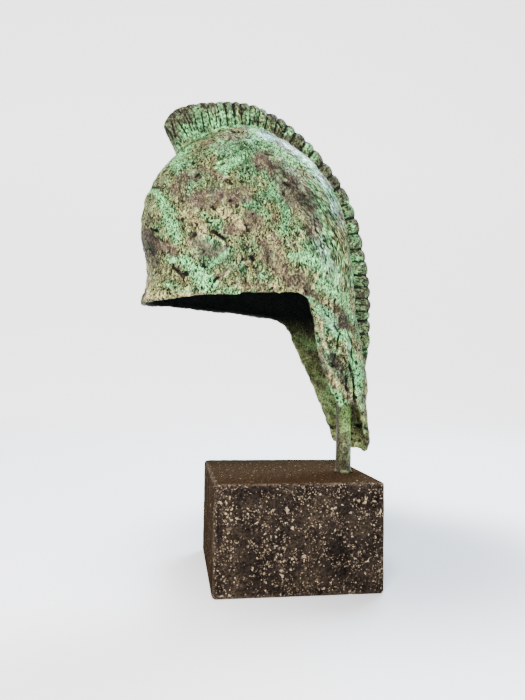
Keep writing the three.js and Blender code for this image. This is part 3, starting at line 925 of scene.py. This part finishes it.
    def bump(self, height, distance, strength):
        """Fine relief whose full height is distance millimetres."""
        node = self.tree.nodes.new("ShaderNodeBump")
        node.inputs["Strength"].default_value = strength
        node.inputs["Distance"].default_value = distance * MM
        self.put(height, node.inputs["Height"])
        return node.outputs["Normal"]


PALE_GREEN = (0.13, 0.44, 0.155, 1)
MID_GREEN = (0.050, 0.125, 0.050, 1)
OLIVE = (0.070, 0.092, 0.040, 1)
TAN = (0.115, 0.103, 0.047, 1)
# Tan of the patina, also used for the painted highlight along the rim
WORN_TAN_AND_RIM_LIGHT = (0.36, 0.28, 0.13, 1)
CREAM = (0.72, 0.78, 0.30, 1)
MINT = (0.46, 1.0, 0.44, 1)
# Bluish-white of painted glints: a painted highlight standing for the bright wall's reflection
PAINTED_GLINT = (0.62, 0.98, 0.90, 1)
# Lighter olive inside the bowl: a thinner patina, and painted light where little lamp light reaches
LIT_INSIDE_OLIVE = (0.27, 0.31, 0.12, 1)
BROWN = (0.112, 0.064, 0.056, 1)
# Dark brown that painted shade turns the colour towards
SHADE_BROWN = (0.032, 0.019, 0.017, 1)
NEAR_BLACK = (0.002, 0.003, 0.002, 1)
# Black of the painted shade inside the bowl
INNER_SHADE = (0.002, 0.003, 0.003, 1)


# Sizes of the patina's noise, in mm
PATCH_SIZE = 20
MOTTLE_SIZE = 6.5
GRAIN_SIZE = 0.95
RIB_GRAIN_SIZE = 1.1
MARK_SIZE = 2.6
ARC_MARK_SIZE = 2.2
RIB_MARK_SIZE = 1.5
# How strongly dark and light marks cover the colour below them
DARK_MARKS = 0.85
LIGHT_MARKS = 0.9
COAT_WEIGHT = 0.7
PATINA_RELIEF = 1.6


def patina_grain(n, along_ribs):
    """The patina's fine grain and its larger marks. They run along the crest's ribs, or
    else upright on the bowl's flanks and round the back of its crown."""
    arc = n.attribute("arc", "Vector")
    if along_ribs:
        grain = n.noise(RIB_GRAIN_SIZE, 3, 0.65, stretch=(0.6, 1, 1), place=arc)
        marks = n.noise(RIB_MARK_SIZE, 2, 0.6, stretch=(0.25, 1, 1), place=arc)
        return grain, marks
    swirl = n.attribute("swirl")
    grain = n.blend(
        swirl,
        n.noise(GRAIN_SIZE, 2, 0.6, stretch=(1, 1, 0.6), distortion=0.9),
        n.noise(GRAIN_SIZE, 2, 0.6, stretch=(1, 1, 0.2), place=arc),
    )
    marks = n.blend(
        swirl,
        n.noise(MARK_SIZE, 2, 0.6, stretch=(1, 1, 0.45), distortion=1.3),
        n.noise(ARC_MARK_SIZE, 2, 0.6, stretch=(1, 1, 0.10), place=arc),
    )
    return grain, marks


def patina_patches(n, mottle, grain):
    """The patina's colour below its fine marks, the colour of its light marks, and how brown, how
    bright and how much painted shade it has. The colour holds painted glints, painted shade, painted
    light inside the bowl and a painted highlight along the rim."""
    broad = n.noise(PATCH_SIZE, 5, 0.6, distortion=0.5)
    colour = n.colours(broad, [
        (0.33, BROWN), (0.42, TAN), (0.5, OLIVE), (0.6, MID_GREEN), (0.72, PALE_GREEN),
    ])
    colour = n.mix(n.range(mottle, 0.52, 0.68, 0, 0.25), colour, PALE_GREEN)
    colour = n.mix(n.range(mottle, 0.48, 0.34, 0, 0.2), colour, BROWN)
    ragged = n.math("MULTIPLY", n.math("SUBTRACT", mottle, 0.5), 0.9)
    ragged = n.math("ADD", ragged, n.math("MULTIPLY", n.math("SUBTRACT", grain, 0.5), 0.8))
    brown = n.range(n.math("SUBTRACT", n.attribute("brown"), ragged), 0.1, 0.9, 0, 0.85)
    colour = n.mix(brown, colour, BROWN)
    # Tan patina; along the rim and the brow's left edge it is also a painted highlight
    tan_and_rim_light = n.range(n.math("ADD", n.attribute("tan_and_rim_light"), ragged), 0.2, 1.0, 0, 0.7)
    colour = n.mix(tan_and_rim_light, colour, WORN_TAN_AND_RIM_LIGHT)
    green = n.range(n.math("ADD", n.attribute("green"), ragged), 0.1, 1.0, 0, 0.85)
    colour = n.mix(green, colour, PALE_GREEN)
    light = n.mix(n.math("MAXIMUM", green, n.range(broad, 0.5, 0.6)), CREAM, MINT)
    gloss_and_glint = n.attribute("gloss_and_glint")
    # Painted highlight: light marks and colour turn towards the glint colour where the casting is
    # polished
    light = n.mix(gloss_and_glint, light, PAINTED_GLINT)
    colour = n.mix(n.range(gloss_and_glint, 0.75, 1.0, 0, 0.6), colour, PAINTED_GLINT)
    colour = n.mix(n.range(n.attribute("relief"), 0.1, 0.5, 0, 0.45), colour, light)
    # Painted shade: the colour darkens towards a shade brown
    painted_shade = n.range(n.math("SUBTRACT", n.attribute("painted_shade"), ragged), 0.1, 0.9, 0, 0.85)
    colour = n.mix(painted_shade, colour, SHADE_BROWN)
    # Painted light and colour: the inside of the bowl turns a lighter olive
    lit_inside = n.range(n.attribute("calm"), 0.3, 0.5, 0, 0.75)
    colour = n.mix(lit_inside, colour, n.mix(brown, LIT_INSIDE_OLIVE, TAN))
    return colour, light, brown, n.math("MAXIMUM", tan_and_rim_light, green), painted_shade


def patina_surface(n, grain, dark_lines, bright_lines):
    """Rough where the grain is low, half glossy where it is high, and coated where the
    casting is polished."""
    n.put(n.range(grain, 0.3, 0.7, 0.65, 0.4), n.shader.inputs["Roughness"])
    n.shader.inputs["Metallic"].default_value = 0.04
    n.shader.inputs["Specular IOR Level"].default_value = 0.12
    coat = n.range(n.attribute("gloss_and_glint"), 0, 1, 0.0, COAT_WEIGHT)
    n.put(coat, n.shader.inputs["Coat Weight"])
    n.shader.inputs["Coat Roughness"].default_value = 0.2
    height = n.math("ADD", n.math("MULTIPLY", bright_lines, 0.2), n.math("MULTIPLY", grain, 0.8))
    height = n.math("SUBTRACT", height, n.math("MULTIPLY", dark_lines, 0.16))
    bumped = n.bump(height, PATINA_RELIEF, 1.0)
    n.put(bumped, n.shader.inputs["Normal"])
    n.put(bumped, n.shader.inputs["Coat Normal"])


def patina_material(name, along_ribs):
    """Mottled verdigris over brown bronze, with fine dark and light marks, dark in the hollows, and
    black inside the bowl as painted shade; its colour also carries painted shade, painted glints and
    painted light."""
    n = Nodes(name)
    mottle = n.noise(MOTTLE_SIZE, 5, 0.68)
    grain, marks = patina_grain(n, along_ribs)
    colour, light, brown, bright, painted_shade = patina_patches(n, mottle, grain)

    calm = n.math("MAXIMUM", n.attribute("calm"), n.math("MULTIPLY", brown, 0.6))
    lively = n.math("SUBTRACT", 1.0, calm)
    contrast = n.math("SUBTRACT", n.range(grain, 0.4, 0.6, 0.04, 2.15), 1.0)
    contrast = n.math("MULTIPLY_ADD", contrast, lively, 1.0)
    colour = n.mix(1.0, colour, n.range(mottle, 0.36, 0.64, 0.65, 1.35), "MULTIPLY")
    colour = n.mix(1.0, colour, contrast, "MULTIPLY")
    colour = n.mix(1.0, colour, n.range(bright, 0.2, 0.7, 1.0, 1.4), "MULTIPLY")

    dark_lines = n.math("MAXIMUM", n.lines(marks, 0.565, 0.04), n.lines(marks, 0.415, 0.035))
    darkened = n.math("MULTIPLY", dark_lines, n.math("MULTIPLY", lively, DARK_MARKS))
    colour = n.mix(darkened, colour, NEAR_BLACK)
    bright_lines = n.math("MULTIPLY", n.lines(marks, 0.49, 0.045), n.range(grain, 0.36, 0.54))
    # Painted highlight: thin glint lines where the casting is polished
    painted_glints = n.math("MULTIPLY", n.attribute("gloss_and_glint"), n.lines(marks, 0.5, 0.06))
    bright_lines = n.math("MAXIMUM", bright_lines, painted_glints)
    lit = n.math("MULTIPLY", lively, n.math("SUBTRACT", 1.0, n.math("MULTIPLY", painted_shade, 0.7)))
    lightened = n.math("MULTIPLY", bright_lines, n.math("MULTIPLY", lit, LIGHT_MARKS))
    colour = n.mix(lightened, colour, light)

    colour = n.mix(n.range(n.attribute("relief"), -0.03, -0.4, 0, 0.97), colour, NEAR_BLACK)
    colour = n.mix(n.math("MULTIPLY", n.attribute("dark"), 0.95), colour, NEAR_BLACK)
    # Painted shade: black inside the bowl
    colour = n.mix(n.attribute("inner_shade"), colour, INNER_SHADE)
    n.put(colour, n.shader.inputs["Base Color"])
    patina_surface(n, grain, dark_lines, bright_lines)
    return n.material


POST_SHADE = (0.022, 0.018, 0.009, 1)
POST_OLIVE = (0.056, 0.062, 0.028, 1)
POST_GREEN = (0.14, 0.20, 0.08, 1)
UPPER_SHADE = (0.022, 0.035, 0.010, 1)
UPPER_GREEN = (0.16, 0.27, 0.07, 1)
POST_BROWN = (0.035, 0.022, 0.013, 1)
# Heights between which the post turns greener, in mm
GREEN_FROM = 84
GREEN_TO = 94


def post_material():
    """Olive bronze with fine pits, browner down its left side and greener at its top."""
    n = Nodes("post_patina")
    mottle = n.noise(6, 4, 0.65, stretch=(1, 1, 0.5))
    grain = n.noise(1.1, 3, 0.7)
    colour = n.colours(mottle, [(0.34, POST_SHADE), (0.5, POST_OLIVE), (0.66, POST_GREEN)])
    upper = n.range(n.part(n.place, "Z"), GREEN_FROM * MM, GREEN_TO * MM, 0, 0.8)
    colour = n.mix(upper, colour, n.mix(n.range(mottle, 0.4, 0.6), UPPER_SHADE, UPPER_GREEN))
    left = n.range(n.part(n.place, "X"), (POST_X - 1) * MM, (POST_X - POST_RADIUS) * MM, 0, 0.85)
    colour = n.mix(left, colour, POST_BROWN)
    colour = n.mix(1.0, colour, n.range(grain, 0.36, 0.64, 0.15, 2.1), "MULTIPLY")
    n.put(colour, n.shader.inputs["Base Color"])
    n.put(n.range(grain, 0.3, 0.7, 0.4, 0.65), n.shader.inputs["Roughness"])
    n.shader.inputs["Metallic"].default_value = 0.1
    n.shader.inputs["Specular IOR Level"].default_value = 0.25
    n.put(n.bump(grain, 0.3, 0.8), n.shader.inputs["Normal"])
    return n.material


# Flecks in the stone: size of the grains in mm, how far in from its edge a fleck's
# colour starts as a share of that, and the share of grains that are flecks
FLECKS = [
    (0.65, 0.04, 0.12), (1.0, 0.07, 0.10), (1.6, 0.12, 0.07), (2.6, 0.16, 0.035),
    (4.6, 0.2, 0.014),
]
STONE_DARK = (0.008, 0.006, 0.005, 1)
STONE_MIDDLE = (0.015, 0.011, 0.009, 1)
STONE_PALE = (0.026, 0.019, 0.013, 1)
STONE_TOP = (0.030, 0.018, 0.010, 1)
STREAK_DARK = (0.014, 0.009, 0.006, 1)
STREAK_BROWN = (0.040, 0.027, 0.017, 1)
FLECK_DULL = (0.05, 0.034, 0.026, 1)
FLECK_CREAM = (0.40, 0.31, 0.20, 1)
WORN_EDGE = (0.23, 0.17, 0.125, 1)


def flecked(n, colour, crowd):
    """A colour with flecks of several sizes on it, more of them where crowd is high."""
    for size, start, share in FLECKS:
        place = n.warped(size * 1.1, size * 0.32)
        distance, chosen, tint = n.grains(size, place)
        kept = n.math("LESS_THAN", chosen, n.math("MULTIPLY", crowd, share))
        inside = n.math("MULTIPLY", kept, n.range(distance, start, start + 0.06, 0, 0.95))
        cream = n.mix(n.math("POWER", tint, 1.9), FLECK_DULL, FLECK_CREAM)
        colour = n.mix(inside, colour, cream)
    return colour


def stone_material():
    """Dark brown stone full of small cream flecks, lighter along worn edges, browner on
    top and streaked on its left side."""
    n = Nodes("dark_stone")
    cloud = n.noise(16, 4, 0.55)
    grit = n.noise(1.3, 4, 0.72)
    patches = n.noise(11, 3, 0.55)
    geometry = n.tree.nodes.new("ShaderNodeNewGeometry")
    top = n.range(n.part(geometry.outputs["Normal"], "Z"), 0.6, 0.9)
    colour = n.colours(cloud, [(0.34, STONE_DARK), (0.5, STONE_MIDDLE), (0.68, STONE_PALE)])
    colour = n.mix(top, colour, STONE_TOP)
    colour = n.mix(1.0, colour, n.range(grit, 0.34, 0.66, 0.4, 1.7), "MULTIPLY")

    left = n.range(n.part(geometry.outputs["Normal"], "X"), -0.6, -0.9)
    upright = n.noise(2.5, 3, 0.6, stretch=(1, 1, 0.12))
    streaked = n.mix(n.range(upright, 0.35, 0.65), STREAK_DARK, STREAK_BROWN)
    colour = n.mix(left, colour, streaked)

    crowd = n.math("MULTIPLY", n.range(patches, 0.36, 0.56, 0.15, 1.1), n.range(top, 0, 1, 1.0, 0.12))
    crowd = n.math("MULTIPLY", crowd, n.range(left, 0, 1, 1.0, 0.25))
    colour = flecked(n, colour, crowd)
    wear = n.math("MULTIPLY", n.attribute("wear"), n.range(grit, 0.4, 0.6, 0.1, 0.9))
    colour = n.mix(wear, colour, WORN_EDGE)
    n.put(colour, n.shader.inputs["Base Color"])
    n.put(n.range(grit, 0.3, 0.7, 0.6, 0.9), n.shader.inputs["Roughness"])
    n.shader.inputs["Specular IOR Level"].default_value = 0.0
    height = n.math("ADD", grit, n.math("MULTIPLY", cloud, 0.4))
    n.put(n.bump(height, 0.4, 0.8), n.shader.inputs["Normal"])
    return n.material


# Stage

# The floor and wall, in metres
FLOOR_FRONT = -1.5
WALL_PLACE = 3.0
WALL_HEIGHT = 3.2
FLOOR_HALF_WIDTH = 3.2
BEND = 1.4
BEND_STEPS = 16
PAPER_GLOW = (1.0, 0.98, 0.975, 1)
PAPER = (0.80, 0.785, 0.78, 1)
SHADOW_PAPER = (0.42, 0.43, 0.46, 1)
# Where a shadow is painted on the paper behind the block, darkening its colour and its glow, and how
# far that reaches
SHADOW_PLACE = (0.07, 0.04, 0.0)
SHADOW_INNER = 0.04
SHADOW_OUTER = 0.24


def make_floor():
    """A pale glowing floor that curves up into a pale wall, with a painted shadow behind the block."""
    bend_start = WALL_PLACE - BEND
    profile = [(FLOOR_FRONT, 0.0), (bend_start, 0.0)]
    for i in range(1, BEND_STEPS + 1):
        angle = math.radians(90 * i / BEND_STEPS)
        profile.append((bend_start + BEND * math.sin(angle), BEND - BEND * math.cos(angle)))
    profile.append((WALL_PLACE, WALL_HEIGHT))
    vertices = []
    for y, z in profile:
        vertices += [(-FLOOR_HALF_WIDTH, y, z), (FLOOR_HALF_WIDTH, y, z)]
    faces = [(2 * i, 2 * i + 1, 2 * i + 3, 2 * i + 2) for i in range(len(profile) - 1)]
    mesh = bpy.data.meshes.new("floor")
    mesh.from_pydata(vertices, [], faces)
    for polygon in mesh.polygons:
        polygon.use_smooth = True
    floor = bpy.data.objects.new("floor", mesh)
    bpy.context.collection.objects.link(floor)
    n = Nodes("pale_paper")
    n.shader.inputs["Roughness"].default_value = 0.75
    n.shader.inputs["Specular IOR Level"].default_value = 0.2
    n.shader.inputs["Emission Color"].default_value = PAPER_GLOW
    glow = n.range(n.part(n.place, "Y"), 0.2, 2.2, 1.3, 2.5)
    # Painted shadow: the paper's colour and glow drop near the block
    out_of_shadow = n.range(n.away_from(SHADOW_PLACE), SHADOW_INNER, SHADOW_OUTER)
    strength = n.math("MULTIPLY", glow, n.range(out_of_shadow, 0, 1, 0.2, 1.0))
    n.put(strength, n.shader.inputs["Emission Strength"])
    n.put(n.mix(out_of_shadow, SHADOW_PAPER, PAPER), n.shader.inputs["Base Color"])
    mesh.materials.append(n.material)


# Lights: name, place and size in metres, power in watts, and colour
LIGHTS = [
    ("key", (-0.4, -1.0, 1.2), 0.4, 62, (1.0, 0.98, 0.95)),
    ("fill", (1.1, -1.1, 0.6), 0.8, 3, (0.95, 0.97, 1.0)),
    ("sky", (0.5, 0.6, 1.25), 0.5, 46, (0.6, 0.82, 1.0)),
]
LIGHT_TARGET = (0.0, 0.0, 0.18)
STUDIO_COLOUR = (1.0, 0.99, 0.98, 1)
STUDIO_STRENGTH = 0.1


def area_light(name, place, size, power, colour):
    data = bpy.data.lights.new(name, "AREA")
    data.shape = "RECTANGLE"
    data.size = size
    data.size_y = size
    data.energy = power
    data.color = colour
    light = bpy.data.objects.new(name, data)
    light.location = place
    aim = Vector(LIGHT_TARGET) - Vector(place)
    light.rotation_euler = aim.to_track_quat("-Z", "Y").to_euler()
    bpy.context.collection.objects.link(light)


def make_lights():
    for row in LIGHTS:
        area_light(*row)
    world = bpy.data.worlds.new("studio")
    world.use_nodes = True
    background = world.node_tree.nodes["Background"]
    background.inputs["Color"].default_value = STUDIO_COLOUR
    background.inputs["Strength"].default_value = STUDIO_STRENGTH
    bpy.context.scene.world = world


make_camera()
make_bowl()
make_crest()
make_post()
make_block()
make_floor()
make_lights()
